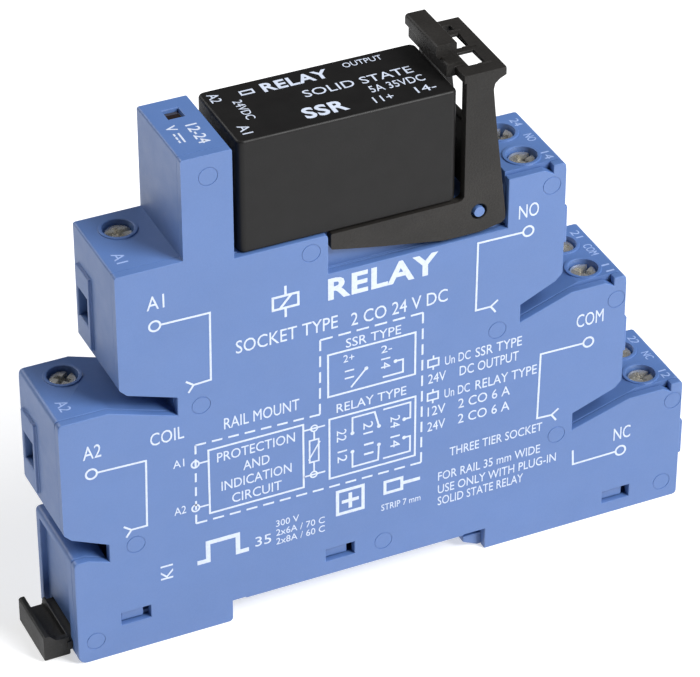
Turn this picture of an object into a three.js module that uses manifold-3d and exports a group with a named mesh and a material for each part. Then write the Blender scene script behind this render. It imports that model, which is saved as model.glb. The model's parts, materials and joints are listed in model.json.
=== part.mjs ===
// Plug-in relay on a 14 mm wide rail socket: a blue two-part housing with eight screw terminals,
// a solid-state relay plugged in on top, its retaining lever and a sliding rail clip.
// Millimetres. +X runs across the rail towards the contact terminals, +Y along the rail and +Z
// away from it. The origin is the middle of the face that rests on the rail.
import * as THREE from "three";
import { mergeVertices } from "three/addons/utils/BufferGeometryUtils.js";
import Module from "manifold-3d";

const wasm = await Module();
wasm.setup();

// ---------------------------------------------------------------- driving dimensions
const housingWidth = 13.6;          // along the rail; sockets sit side by side every 14 mm
const wall = 1.2;                   // moulded walls of the housing
const coverThickness = 1.15;        // near side cover
const seamGap = 0.05;               // between the cover and the housing body
const fitGap = 0.1;                 // small clearance between parts that touch

const recessWidth = 36;             // takes a 35 mm rail
const recessDepth = 3.2;
const flangeSpace = 1.25;           // rail flange thickness plus play, above hook and clip nose
const seatRelief = 0.15;            // ceiling relief over the hook and the clip nose
const hookReach = 2.6;
const hookLeadIn = 1.0;

const towerRightX = -16.85;         // indicator tower
const towerLength = 6.6;
const towerRise = 15.5;             // above the relay deck
const a1Length = 8.85;              // upper left terminal step, in front of the tower
const a2Step = 8.1;                 // how much further out the lower left step stands
const baseSetback = 1.1;            // base end behind the lower left step
const baseTopZ = 16.1;
const leftTierRise = 19.35;

const noLength = 8.0;               // top right terminal step
const rightStep = 9.4;              // each lower step stands this much further out
const ncTopZ = 18.6;
const tierRise = 19.45;
const deckDrop = 1.9;               // relay deck below the top right step
const a1AboveDeck = 1.45;

const slotHeight = 2.75;            // open slots between the steps
const slotRamp = 3.0;               // how far each slot floor drops towards its end
const slotLift = 2.2;               // how far each slot ceiling rises towards its mouth
const slotFlat = 6.6;               // flat top of a step before its ramp
const comSlotLength = 15.2;
const ncSlotLength = 16.4;
const a2SlotLength = 15.6;
const baseSlotLength = 4.75;
const mouthChamfer = 1.0;
const cornerRound = 0.6;

const relayLength = 29;
const relayWidth = 12.7;
const relayHeight = 15.7;
const relayGap = 0.95;              // relay to tower
const relayWall = 0.8;
const relayCorner = 0.9;
const relayTopBevel = 0.35;
const relayBaseThickness = 1.6;
const coilPinInset = 2.0;           // coil pins from the relay's left end
const pinRow = 7.5;                 // between the two rows of pins
const pinPitch = 5;                 // NC, COM and NO pins
const coilToNc = 15;
const pinWidth = 1.0;
const pinThickness = 0.5;
const pinLength = 4.0;

const leverGap = 0.9;               // relay to lever post
const leverThickness = 1.2;         // each side arm
const leverSideGap = 0.1;           // lever inside the housing width
const leverPivotBack = 2.1;         // pivot behind the post's front edge
const pivotBelowDeck = 2.2;
const pivotRadius = 0.7;
const pivotHoleRadius = 1.05;
const leverHeelLength = 5.9;        // post front edge to heel
const heelGap = 0.2;                // heel to the top right step
const armReach = 20.1;              // pivot to arm tip
const armTipHeight = 2.2;
const heelDrop = 3.1;               // pivot to lever underside
const pocketGap = 0.4;
const catchOverlap = 0.5;           // catch over the relay's edge
const catchGap = 0.55;              // catch above the relay
const capAboveCatch = 0.25;
const capPlate = 0.5;               // thinned plate around the cap's windows
const capThickness = 1.1;
const capLength = 5.7;
const capFrontOverhang = 0.3;       // cap in front of the posts
const windowPitch = 4.25;           // see-through windows in the cap
const capWindowLength = 2.15;
const capWindowWidth = 3.25;
const webThickness = 1.2;           // web that joins the two posts behind the relay
const webRise = 9.7;                // top of the web above the deck
const webBack = 0.9;                // web behind the posts' front edge
const capWindowInset = 1.7;         // windows from the cap's front edge
const capWindowStart = 2.2;         // first window from the cap's near side
const capWindowRim = 0.4;           // thinned plate past the windows
const markWidth = 0.25;             // raised marks beside the windows
const markRise = 0.15;
const fingerLip = 1.9;              // leaning part of the finger block, from its top
const shoulderWidth = 1.9;
const shoulderRise = 0.5;
const postTopLength = 3.8;
const gussetRadius = 1.7;
const fingerHeight = 3.5;           // finger block above the catch
const fingerLength = 2.3;
const fingerLean = 0.5;             // top of the finger block in front of the catch
const fingerOffset = 4.6;           // finger block stops this far short of the near side

const screwHeadRadius = 1.75;
const screwHeadHeight = 2.0;
const screwHeadDepth = 0.45;        // head top below the step
const screwShaftRadius = 1.25;
const screwShaftLength = 6.05;
const screwHoleGap = 0.2;           // screw head in its hole
const screwRingWidth = 0.5;         // raised ring around each hole
const screwRingHeight = 0.2;
const screwInset = 4.4;             // screw from the end of its step
const ledSize = 2.1;                // square window in the tower's top
const ledInset = 3.4;
const latchFirst = 6.0;             // left latch window from the base's end
const latchFirstZ = 4.5;
const latchMiddleX = -4.9;
const latchMiddleZ = 5.4;
const latchLast = 11.4;             // right latch window from the lowest step's end
const latchLastZ = 1.9;
const endRecessDepth = 0.8;         // shallow recess in the base's left end
const endRecessNear = 2.8;
const endRecessDrop = 1.4;
const reliefOverrun = 0.4;
const ledgeDrop = 0.45;             // cover's edge below the right steps
const notchDrop = 1.15;             // triangular notch at the end of that ledge
const notchLength = 1.2;
const notchInset = 1.8;
const driverSlotWidth = 0.6;
const driverSlotDepth = 1.0;

const cageWidth = 4.6;
const cageLength = 4.0;
const cageWall = 0.7;
const cageRoof = 1.4;
const cageFloor = 0.9;
const cageOpening = 5.0;
const cageDrop = 6.0;               // cage roof below the step, with the clamp open
const cageClearance = 0.25;         // cage to housing wall
const stripThickness = 0.8;
const stripWebThickness = 0.6;
const stripWebHeight = 2.4;
const tongueNeck = 0.35;            // tongue past the cage, where it joins its web
const tongueOverhang = 0.65;        // tongue's near edge to the web of a coil strip
const forkGap = 0.1;
const forkProng = 0.7;

const entryWidth = 3.2;
const entryHeight = 4.0;
const entryDrop = 10.4;             // wire entry centre below its step
const collarReach = 1.2;            // collar on the right ends
const collarHeight = 5.5;
const leftCollarReach = 0.4;
const leftCollarHeight = 10.5;
const leftEntryShift = 0.5;

const clipHeadLength = 3.6;
const clipHeadWidth = 9.0;
const clipHeadHeight = 4.0;
const clipLipHeight = 0.9;
const clipPocketFloor = 2.0;
const clipBarWidth = 9.4;
const clipKeelWidth = 7.4;
const clipBarTop = 2.4;
const clipKeelTop = 1.3;
const clipNoseReach = 1.4;          // past the recess wall, under the rail flange
const clipGap = 0.2;

const boardThickness = 1.0;
const windowLength = 4.0;           // latch windows in the cover
const windowHeight = 1.9;

// ---------------------------------------------------------------- places worked out from them
const halfWidth = housingWidth / 2;
const partingY = -halfWidth + coverThickness + seamGap;
const innerY = halfWidth - wall;
const recessHalf = recessWidth / 2;
const towerLeftX = towerRightX - towerLength;
const a1EndX = towerLeftX - a1Length;
const a2EndX = a1EndX - a2Step;
const baseEndX = a2EndX + baseSetback;

const relayLeftX = towerRightX + relayGap;
const relayRightX = relayLeftX + relayLength;
const postX = relayRightX + leverGap;
const pivotX = postX + leverPivotBack;
const heelX = postX + leverHeelLength;
const armTipX = pivotX - armReach;
const pocketX = armTipX - pocketGap;
const noWallX = heelX + heelGap;

const rightTiers = [
  { name: "NC", endX: noWallX + noLength + 2 * rightStep, top: ncTopZ, near: "12", far: "22" },
  { name: "COM", endX: noWallX + noLength + rightStep, top: ncTopZ + tierRise, near: "11", far: "21" },
  { name: "NO", endX: noWallX + noLength, top: ncTopZ + 2 * tierRise, near: "14", far: "24" },
];
const [ncTier, comTier, noTier] = rightTiers;
ncTier.slotEndX = ncTier.endX - ncSlotLength;
comTier.slotEndX = comTier.endX - comSlotLength;
const deckZ = noTier.top - deckDrop;
const towerTopZ = deckZ + towerRise;
const leftTiers = [
  { name: "A2", endX: a2EndX, top: deckZ + a1AboveDeck - leftTierRise },
  { name: "A1", endX: a1EndX, top: deckZ + a1AboveDeck },
];
const [a2Tier, a1Tier] = leftTiers;
const a2SlotEndX = a2EndX + a2SlotLength;
const baseSlotEndX = baseEndX + baseSlotLength;

const screwHoleRadius = screwHeadRadius + screwHoleGap;
const screwRingRadius = screwHoleRadius + screwRingWidth;
const roomHalf = Math.min(innerY, -partingY);
const poleY = roomHalf - Math.max(cageClearance + cageWidth / 2, fitGap + screwRingRadius);
const tongueReach = cageWidth / 2 - cageWall - 2 * fitGap;
const boardBack = Math.min(poleY - tongueReach + tongueOverhang - fitGap,
  pinRow / 2 - stripWebThickness / 2 - 4 * fitGap);
const boardY = boardBack - boardThickness;
const stripY = pinRow / 2;
const relayZ = deckZ + fitGap;
const relayTopZ = relayZ + relayHeight;
const pivotZ = deckZ - pivotBelowDeck;
const leverOuterY = halfWidth - leverSideGap;
const leverInnerY = leverOuterY - leverThickness;
const coreY = leverInnerY - 2 * fitGap;
const pocketZ = pivotZ - heelDrop - pocketGap;
const coilPinX = relayLeftX + coilPinInset;
const contactX = {
  NC: coilPinX + coilToNc,
  COM: coilPinX + coilToNc + pinPitch,
  NO: coilPinX + coilToNc + 2 * pinPitch,
};
const noseTopZ = recessDepth - flangeSpace;

// ---------------------------------------------------------------- solids and booleans
function solid(geometry) {
  const bare = geometry.clone();
  bare.deleteAttribute("normal");
  bare.deleteAttribute("uv");
  const merged = mergeVertices(bare, 1e-5);
  return new wasm.Manifold(new wasm.Mesh({
    numProp: 3,
    vertProperties: new Float32Array(merged.attributes.position.array),
    triVerts: new Uint32Array(merged.index.array),
  }));
}

function join(first, ...others) {
  return others.reduce((sum, other) => sum.add(other), first);
}

function cut(body, ...tools) {
  return tools.reduce((rest, tool) => rest.subtract(tool), body);
}

// box between two corners
function box(x0, x1, y0, y1, z0, z1) {
  const geometry = new THREE.BoxGeometry(x1 - x0, y1 - y0, z1 - z0);
  return solid(geometry.translate((x0 + x1) / 2, (y0 + y1) / 2, (z0 + z1) / 2));
}

// points of an outline whose corners are [a, b, radius]; a radius rounds its corner
function roundedPoints(corners, steps = 4) {
  const points = [];
  corners.forEach(([a, b, radius = 0], i) => {
    const corner = new THREE.Vector2(a, b);
    if (radius === 0) {
      points.push(corner);
      return;
    }
    const [pa, pb] = corners[(i + corners.length - 1) % corners.length];
    const [na, nb] = corners[(i + 1) % corners.length];
    const before = new THREE.Vector2(pa, pb).sub(corner).normalize();
    const after = new THREE.Vector2(na, nb).sub(corner).normalize();
    const half = Math.acos(THREE.MathUtils.clamp(before.dot(after), -1, 1)) / 2;
    const middle = before.clone().add(after).normalize();
    const centre = corner.clone().addScaledVector(middle, radius / Math.sin(half));
    const reach = radius / Math.tan(half);
    const start = corner.clone().addScaledVector(before, reach).sub(centre);
    const end = corner.clone().addScaledVector(after, reach).sub(centre);
    const sweep = start.clone().cross(end) > 0 ? Math.PI - 2 * half : 2 * half - Math.PI;
    for (let k = 0; k <= steps; k += 1) {
      points.push(start.clone().rotateAround(new THREE.Vector2(), (sweep * k) / steps).add(centre));
    }
  });
  return points;
}

// plate standing in the X-Z plane between two Y values
function sidePlate(corners, y0, y1, steps = 4) {
  const shape = new THREE.Shape(roundedPoints(corners, steps));
  const geometry = new THREE.ExtrudeGeometry(shape, { depth: y1 - y0, bevelEnabled: false });
  return solid(geometry.rotateX(Math.PI / 2).translate(0, y1, 0));
}

// plate lying in the X-Y plane between two Z values
function rodZ(x, y, radius, z0, z1, sides = 24) {
  const geometry = new THREE.CylinderGeometry(radius, radius, z1 - z0, sides);
  return solid(geometry.rotateX(Math.PI / 2).translate(x, y, (z0 + z1) / 2));
}

function rodY(x, z, radius, y0, y1, sides = 24) {
  const geometry = new THREE.CylinderGeometry(radius, radius, y1 - y0, sides);
  return solid(geometry.translate(x, (y0 + y1) / 2, z));
}

// ---------------------------------------------------------------- materials
function plastic(color, roughness) {
  return new THREE.MeshStandardMaterial({ color, roughness, metalness: 0 });
}

function metal(color, roughness) {
  return new THREE.MeshStandardMaterial({ color, roughness, metalness: 1 });
}

const socketBlue = () => plastic("#6f8fd0", 0.5);
const relayBlack = () => plastic("#262422", 0.45);
const leverBlack = () => plastic("#2c2a28", 0.55);
const clipBlack = () => plastic("#24211f", 0.5);
const boardGreen = () => plastic("#1f5a35", 0.5);
const lensTint = () => plastic("#3a1a14", 0.2);
const ledRed = () => plastic("#c8331f", 0.25);
const chipBlack = () => plastic("#1b1b1c", 0.5);
const resistorBeige = () => plastic("#c9b184", 0.6);
const varistorBlue = () => plastic("#23488c", 0.5);
const platedSteel = () => metal("#c9c9c4", 0.3);
const tinnedBrass = () => metal("#c7b98c", 0.35);

const model = new THREE.Group();
model.position.z = -recessDepth;

function place(name, body, material) {
  const { numProp, vertProperties, triVerts } = body.getMesh();
  const geometry = new THREE.BufferGeometry();
  geometry.setAttribute("position", new THREE.BufferAttribute(vertProperties, numProp));
  geometry.setIndex(new THREE.BufferAttribute(triVerts, 1));
  geometry.computeVertexNormals();
  const mesh = new THREE.Mesh(geometry, material);
  mesh.name = name;
  model.add(mesh);
}

// ---------------------------------------------------------------- housing outline, X-Z plane
// The slot above a step: flat top, ramp down to the slot's end, then the ceiling back out to the
// underside of the step above. side is 1 on the right and -1 on the left.
function slotCorners(side, endX, top, slotEndX, upperEndX) {
  const flatEndX = endX - side * slotFlat;
  const floorZ = top - slotRamp;
  return [
    [endX, top, cornerRound],
    [flatEndX, top],
    [slotEndX, floorZ],
    [slotEndX, floorZ + slotHeight],
    [upperEndX - side * mouthChamfer, floorZ + slotHeight + slotLift, cornerRound],
    [upperEndX, floorZ + slotHeight + slotLift + mouthChamfer, cornerRound],
  ];
}

function baseSlotCorners() {
  const endZ = baseTopZ - mouthChamfer;
  return [
    [a2EndX, endZ + slotHeight + slotLift + mouthChamfer, cornerRound],
    [a2EndX + mouthChamfer, endZ + slotHeight + slotLift, cornerRound],
    [baseSlotEndX, endZ + slotHeight],
    [baseSlotEndX, endZ],
    [baseEndX + 2 * mouthChamfer, baseTopZ],
    [baseEndX, baseTopZ, cornerRound],
  ];
}

// topCorners is the stretch between the top right step and the tower, from right to left
function housingCorners(topCorners) {
  return [
    [baseEndX, 0, 2 * cornerRound],
    [-recessHalf, 0, cornerRound],
    [-recessHalf, recessDepth],
    [recessHalf, recessDepth],
    [recessHalf, 0],
    [ncTier.endX, 0, cornerRound],
    ...slotCorners(1, ncTier.endX, ncTier.top, ncTier.slotEndX, comTier.endX),
    ...slotCorners(1, comTier.endX, comTier.top, comTier.slotEndX, noTier.endX),
    [noTier.endX, noTier.top, cornerRound],
    [noWallX, noTier.top],
    ...topCorners,
    [towerRightX, towerTopZ, cornerRound / 2],
    [towerLeftX, towerTopZ, cornerRound / 2],
    [towerLeftX, a1Tier.top],
    [a1EndX, a1Tier.top, cornerRound / 2],
    ...slotCorners(-1, a2EndX, a2Tier.top, a2SlotEndX, a1EndX).reverse(),
    ...baseSlotCorners(),
  ];
}

const cradleCorners = [
  [noWallX, pocketZ],
  [pocketX, pocketZ],
  [pocketX, deckZ, cornerRound],
  [towerRightX, deckZ],
];

// ---------------------------------------------------------------- housing body
function housingRooms() {
  const y0 = partingY - 1;
  const y1 = innerY;
  const roomLeft = a2SlotEndX + wall;
  const roomRight = comTier.slotEndX - wall;
  const deckUnder = deckZ - wall;
  const recessFloor = recessDepth + seatRelief + wall;
  const clipCeiling = clipBarTop + clipGap + 2 * wall;
  const baseRoomTop = baseTopZ - mouthChamfer - wall;
  const ncSlotFloor = ncTier.top - slotRamp - wall;
  const a2Under = baseTopZ - mouthChamfer + slotHeight + slotLift + wall;
  const comUnder = ncTier.top - slotRamp + slotHeight + slotLift + wall;
  const noUnder = comTier.top - slotRamp + slotHeight + slotLift + wall;
  const a1Under = a2Tier.top - slotRamp + slotHeight + slotLift + wall;
  const coreRoomY = coreY - 1;
  const rooms = [
    box(roomLeft, roomRight, y0, y1, recessFloor, pocketZ - wall),
    box(roomLeft, pocketX - wall, y0, y1, recessFloor, deckUnder),
    box(pocketX - wall, noWallX - wall, -coreRoomY, coreRoomY, pocketZ - 2 * wall, deckUnder),
    box(towerLeftX + wall, towerRightX - wall, y0, y1, recessFloor, towerTopZ - wall),
    box(baseEndX + 2 * wall, roomLeft + wall, y0, y1, clipCeiling, baseRoomTop),
    box(a2EndX + wall, baseSlotEndX + wall, y0, y1, a2Under, a2Tier.top - wall),
    box(baseSlotEndX, roomLeft + wall, y0, y1, clipCeiling, a2Tier.top - slotRamp - wall),
    box(a1EndX + wall, roomLeft + wall, y0, y1, a1Under, a1Tier.top - wall),
    box(recessHalf + wall, ncTier.endX - wall, y0, y1, wall, ncSlotFloor),
    box(roomRight - wall, ncTier.slotEndX - wall, y0, y1, recessFloor, comTier.top - slotRamp - wall),
    box(ncTier.endX - slotFlat, ncTier.endX - wall, y0, y1, wall, ncTier.top - wall),
    box(ncTier.slotEndX - 2 * wall, comTier.endX - wall, y0, y1, comUnder, comTier.top - slotRamp - wall),
    box(comTier.endX - slotFlat, comTier.endX - wall, y0, y1, comUnder, comTier.top - wall),
    box(noWallX + wall, noTier.endX - wall, y0, y1, noUnder, noTier.top - wall),
    box(roomRight - wall, noTier.endX - wall, y0, y1, noUnder, pocketZ - wall),
  ];
  return join(...rooms);
}

const terminals = [
  ...rightTiers.flatMap((tier) => [
    { label: tier.near, tier, y: -poleY, side: 1, shift: 0 },
    { label: tier.far, tier, y: poleY, side: 1, shift: 0 },
  ]),
  ...leftTiers.map((tier) => ({ label: tier.name, tier, y: poleY, side: -1, shift: leftEntryShift })),
];
terminals.forEach((terminal) => {
  terminal.x = terminal.tier.endX - terminal.side * screwInset;
});

function screwChimney({ x, y, tier }) {
  const ring = rodZ(x, y, screwRingRadius, tier.top - wall, tier.top + screwRingHeight);
  const sleeve = rodZ(x, y, screwRingRadius - fitGap, tier.top - wall - screwHeadHeight, tier.top);
  return join(ring, sleeve);
}

function screwHole({ x, y, tier }) {
  return rodZ(x, y, screwHoleRadius, tier.top - 2 * wall - screwHeadHeight, tier.top + 1);
}

function wireEntry({ y, tier, side, shift }) {
  const inner = tier.endX - side * (wall + 1);
  const outer = tier.endX + side * (collarReach + 1);
  const middleZ = tier.top - entryDrop;
  return box(Math.min(inner, outer), Math.max(inner, outer), y + shift - entryWidth / 2,
    y + shift + entryWidth / 2, middleZ - entryHeight / 2, middleZ + entryHeight / 2);
}

function rightCollar({ endX, top }) {
  const reachY = poleY + entryWidth / 2 + wall / 2;
  const middleZ = top - entryDrop;
  return box(endX - wall, endX + collarReach, -reachY, reachY,
    middleZ - collarHeight / 2, middleZ + collarHeight / 2);
}

function leftCollar({ endX, top }) {
  const middleY = poleY + leftEntryShift;
  const reachY = entryWidth / 2 + wall / 2;
  const middleZ = top - entryDrop;
  return box(endX - leftCollarReach, endX + wall, middleY - reachY, middleY + reachY,
    middleZ - leftCollarHeight / 2, middleZ + leftCollarHeight / 2);
}

// wall between the two poles of a right step
function poleDivider({ endX, top }) {
  const reach = poleY - cageWidth / 2 - cageClearance;
  return box(endX - 2 * screwInset + wall, endX - wall / 2, -reach, reach,
    top - cageDrop - cageOpening - cageRoof - cageFloor, top - wall / 2);
}

// latch of the body, seen in its window in the cover: [left, bottom, height of the wall under it]
const latches = [
  [baseEndX + latchFirst, latchFirstZ, 2 * wall + clipBarTop],
  [latchMiddleX, latchMiddleZ, recessDepth + wall],
  [ncTier.endX - latchLast, latchLastZ, wall],
];

function latchWindow([x, z]) {
  return box(x, x + windowLength, -halfWidth - 1, partingY, z, z + windowHeight);
}

function latch([x, z, wallTop]) {
  const nose = box(x + fitGap, x + windowLength - 8 * fitGap, -halfWidth + wall / 2, partingY + 1,
    z + 2 * fitGap, z + windowHeight - 2 * fitGap);
  const stem = box(x + fitGap, x + windowLength - 8 * fitGap, partingY, partingY + wall,
    wallTop - wall / 2, z + windowHeight - 2 * fitGap);
  return join(nose, stem);
}

function railHook() {
  const profile = [
    [recessHalf - hookReach, noseTopZ],
    [recessHalf + wall, noseTopZ],
    [recessHalf + wall, 0],
    [recessHalf - hookLeadIn / 2, 0],
    [recessHalf - hookReach, hookLeadIn],
  ];
  return sidePlate(profile, partingY, innerY);
}

// the ceiling stands back over the hook and over the clip's nose, so the rail seats between them
function seatReliefs() {
  const top = recessDepth + seatRelief;
  return join(
    box(-recessHalf, -recessHalf + clipNoseReach + reliefOverrun, -halfWidth - 1, halfWidth + 1,
      recessDepth - 1, top),
    box(recessHalf - hookReach - reliefOverrun, recessHalf, -halfWidth - 1, halfWidth + 1,
      recessDepth - 1, top),
  );
}

function clipChannel() {
  const x0 = baseEndX - 1;
  const x1 = -recessHalf + 1;
  const keel = clipKeelWidth / 2 + clipGap;
  const bar = clipBarWidth / 2 + clipGap;
  return join(
    box(x0, x1, -keel, keel, -1, clipKeelTop),
    box(x0, x1, -bar, bar, clipKeelTop - clipGap, clipBarTop + clipGap),
  );
}

function pinHole(x, y) {
  const reachX = pinWidth / 2 + 3 * fitGap;
  const reachY = pinThickness / 2 + 3 * fitGap;
  return box(x - reachX, x + reachX, y - reachY, y + reachY, deckZ - 2 * wall, deckZ + 1);
}

const ledX = towerLeftX + ledInset;
const ledY = boardBack + fitGap + 1.3;

function ledHole() {
  const half = ledSize / 2;
  return box(ledX - half, ledX + half, ledY - half, ledY + half, towerTopZ - 2 * wall, towerTopZ + 1);
}

function housingBody() {
  const outer = join(
    sidePlate(housingCorners(cradleCorners), partingY, halfWidth),
    box(pocketX - wall, noWallX + wall, -coreY, coreY, pocketZ - wall, deckZ),
  );
  const endRecess = box(baseEndX - 1, baseEndX + endRecessDepth, -halfWidth + endRecessNear, halfWidth - wall,
    -1, baseTopZ - endRecessDrop);
  const hollow = cut(outer, housingRooms(), seatReliefs(), clipChannel(), endRecess);
  const pivots = rodY(pivotX, pivotZ, pivotRadius, -halfWidth, halfWidth);
  const pivotClear = box(pivotX - 2, pivotX + 2, -coreY + 1, coreY - 1, pivotZ - 2, pivotZ + 2);
  const built = join(
    hollow,
    ...terminals.map(screwChimney),
    ...rightTiers.map(rightCollar),
    ...rightTiers.map(poleDivider),
    ...leftTiers.map(leftCollar),
    ...latches.map(latch),
    railHook(),
    cut(pivots, pivotClear),
  );
  const pinHoles = [coilPinX, contactX.NC, contactX.COM, contactX.NO]
    .flatMap((x) => [pinHole(x, -stripY), pinHole(x, stripY)]);
  return cut(built, ...terminals.map(screwHole), ...terminals.map(wireEntry), ...pinHoles, ledHole());
}

// ---------------------------------------------------------------- near side cover
function sideCover() {
  const plate = sidePlate(housingCorners(cradleCorners), -halfWidth, -halfWidth + coverThickness);
  const ledges = rightTiers.map(({ endX, top }) => sidePlate([
    [endX - noLength - 1, top + 1],
    [endX - noLength - 1, top - ledgeDrop],
    [endX - notchInset - notchLength, top - ledgeDrop],
    [endX - notchInset, top - notchDrop],
    [endX - notchInset, top + 1],
  ], -halfWidth - 1, partingY));
  return cut(plate, ...latches.map(latchWindow), seatReliefs(), ...ledges);
}

// ---------------------------------------------------------------- terminals
function terminalScrew({ x, y, tier }) {
  const headTop = tier.top - screwHeadDepth;
  const headBottom = headTop - screwHeadHeight;
  const head = rodZ(x, y, screwHeadRadius, headBottom, headTop);
  const shaft = rodZ(x, y, screwShaftRadius, headBottom - screwShaftLength, headBottom + 0.2, 16);
  const slotEnd = screwHeadRadius + 1;
  const half = driverSlotWidth / 2;
  const slotZ = headTop - driverSlotDepth;
  const crossReach = screwHeadRadius * 0.62;
  const slot = box(x - slotEnd, x + slotEnd, y - half, y + half, slotZ, headTop + 1);
  const cross = box(x - half, x + half, y - crossReach, y + crossReach, slotZ, headTop + 1);
  return cut(join(head, shaft), slot, cross);
}

function clampCage({ x, y, tier }) {
  const roof = tier.top - cageDrop;
  const openTop = roof - cageRoof;
  const openBottom = openTop - cageOpening;
  const halfLength = cageLength / 2;
  const halfSpan = cageWidth / 2;
  const tube = box(x - halfLength, x + halfLength, y - halfSpan, y + halfSpan, openBottom - cageFloor, roof);
  const mouth = box(x - halfLength - 1, x + halfLength + 1, y - halfSpan + cageWall,
    y + halfSpan - cageWall, openBottom, openTop);
  const thread = rodZ(x, y, screwShaftRadius + fitGap, openTop - 1, roof + 1, 16);
  return cut(tube, mouth, thread);
}

const tongueDrop = screwHeadDepth + screwHeadHeight + screwShaftLength + fitGap;
const webDrop = tongueDrop + stripThickness / 2;

// flat tongue inside the clamp cage, under the screw's tip
function stripTongue({ x, y, tier, side }) {
  const inner = x - side * (cageLength / 2 + tongueNeck);
  const outer = x + side * (cageLength / 2);
  const topZ = tier.top - tongueDrop;
  return box(Math.min(inner, outer), Math.max(inner, outer), y - tongueReach, y + tongueReach,
    topZ - stripThickness, topZ);
}

// forked end that grips a relay pin, with its stem down to stemZ
function forkContact(x, y, stemZ) {
  const prongInner = pinWidth / 2 + forkGap;
  const prongOuter = prongInner + forkProng;
  const half = stripWebThickness / 2;
  const tipZ = deckZ - wall - 4 * fitGap;
  const crotchZ = relayZ - pinLength - 1;
  const blade = box(x - prongOuter, x + prongOuter, y - half, y + half, stemZ, tipZ);
  const gap = box(x - prongInner, x + prongInner, y - 1, y + 1, crotchZ, tipZ + 1);
  return cut(blade, gap);
}

function contactStrip(terminal) {
  const { x, y, tier } = terminal;
  const webY = Math.sign(y) * stripY;
  const half = stripWebThickness / 2;
  const webTop = tier.top - webDrop;
  const webBottom = webTop - stripWebHeight;
  const tongueEndX = x - cageLength / 2 - fitGap;
  const forkX = contactX[tier.name];
  const web = box(forkX, tongueEndX, webY - half, webY + half, webBottom, webTop);
  return join(stripTongue(terminal), web, forkContact(forkX, webY, webBottom));
}

const boardLeftX = towerLeftX + wall + 2 * fitGap;

function coilStrip(terminal) {
  const { x, tier } = terminal;
  const webTop = tier.top - webDrop;
  const webLeft = x + cageLength / 2 + fitGap;
  const web = box(webLeft, boardLeftX + 3, boardBack + fitGap, boardBack + fitGap + stripWebThickness,
    webTop - stripWebHeight, webTop);
  return join(stripTongue(terminal), web);
}

// coil contact: fork on a relay pin, with a foot bent over to the circuit board
function coilContact(side) {
  const y = side * stripY;
  const footZ = deckZ - 9;
  const footTop = footZ + stripThickness;
  const near = side < 0 ? y : boardBack + fitGap;
  const far = side < 0 ? boardY - fitGap : y;
  const foot = box(coilPinX - 0.8, coilPinX + 0.8, near, far, footZ, footTop);
  return join(forkContact(coilPinX, y, footZ), foot);
}

// ---------------------------------------------------------------- circuit board and indicator
const boardBottomZ = a2Tier.top - webDrop - stripWebHeight - 3;
const boardTopZ = deckZ - wall - 1;
const ledBaseZ = towerTopZ - 7;

function circuitBoard() {
  const tongueRight = towerRightX - wall - 2 * fitGap;
  return join(
    box(boardLeftX, boardLeftX + 15, boardY, boardBack, boardBottomZ, boardTopZ - 2),
    box(boardLeftX, tongueRight, boardY, boardBack, boardTopZ - 3, ledBaseZ + 3),
  );
}

function indicatorLed() {
  const front = boardBack + fitGap;
  const middleY = front + 1.2;
  const body = box(ledX - 1, ledX + 1, front, front + 2.4, ledBaseZ, ledBaseZ + 1.6);
  return join(body, rodZ(ledX, middleY, 0.9, ledBaseZ + 1.5, ledBaseZ + 3, 16));
}

function indicatorLens() {
  const half = ledSize / 2 - fitGap;
  return box(ledX - half, ledX + half, ledY - half, ledY + half, ledBaseZ + 3.2, towerTopZ - 0.5);
}

const partsZ = boardBottomZ + 5;

function boardResistor() {
  const rod = new THREE.CylinderGeometry(0.9, 0.9, 5, 16).rotateZ(Math.PI / 2);
  return solid(rod.translate(boardLeftX + 7, boardY - fitGap - 0.9, partsZ));
}

function boardDiode() {
  return box(boardLeftX + 4.5, boardLeftX + 9, boardY - fitGap - 1.6, boardY - fitGap,
    partsZ + 4, partsZ + 6.4);
}

function boardVaristor() {
  return rodY(boardLeftX + 7, partsZ + 13, 3.2, boardY - fitGap - 2.6, boardY - fitGap, 24);
}

// ---------------------------------------------------------------- rail clip
const clipHeadX = baseEndX - fitGap * 2 - clipHeadLength;

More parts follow.
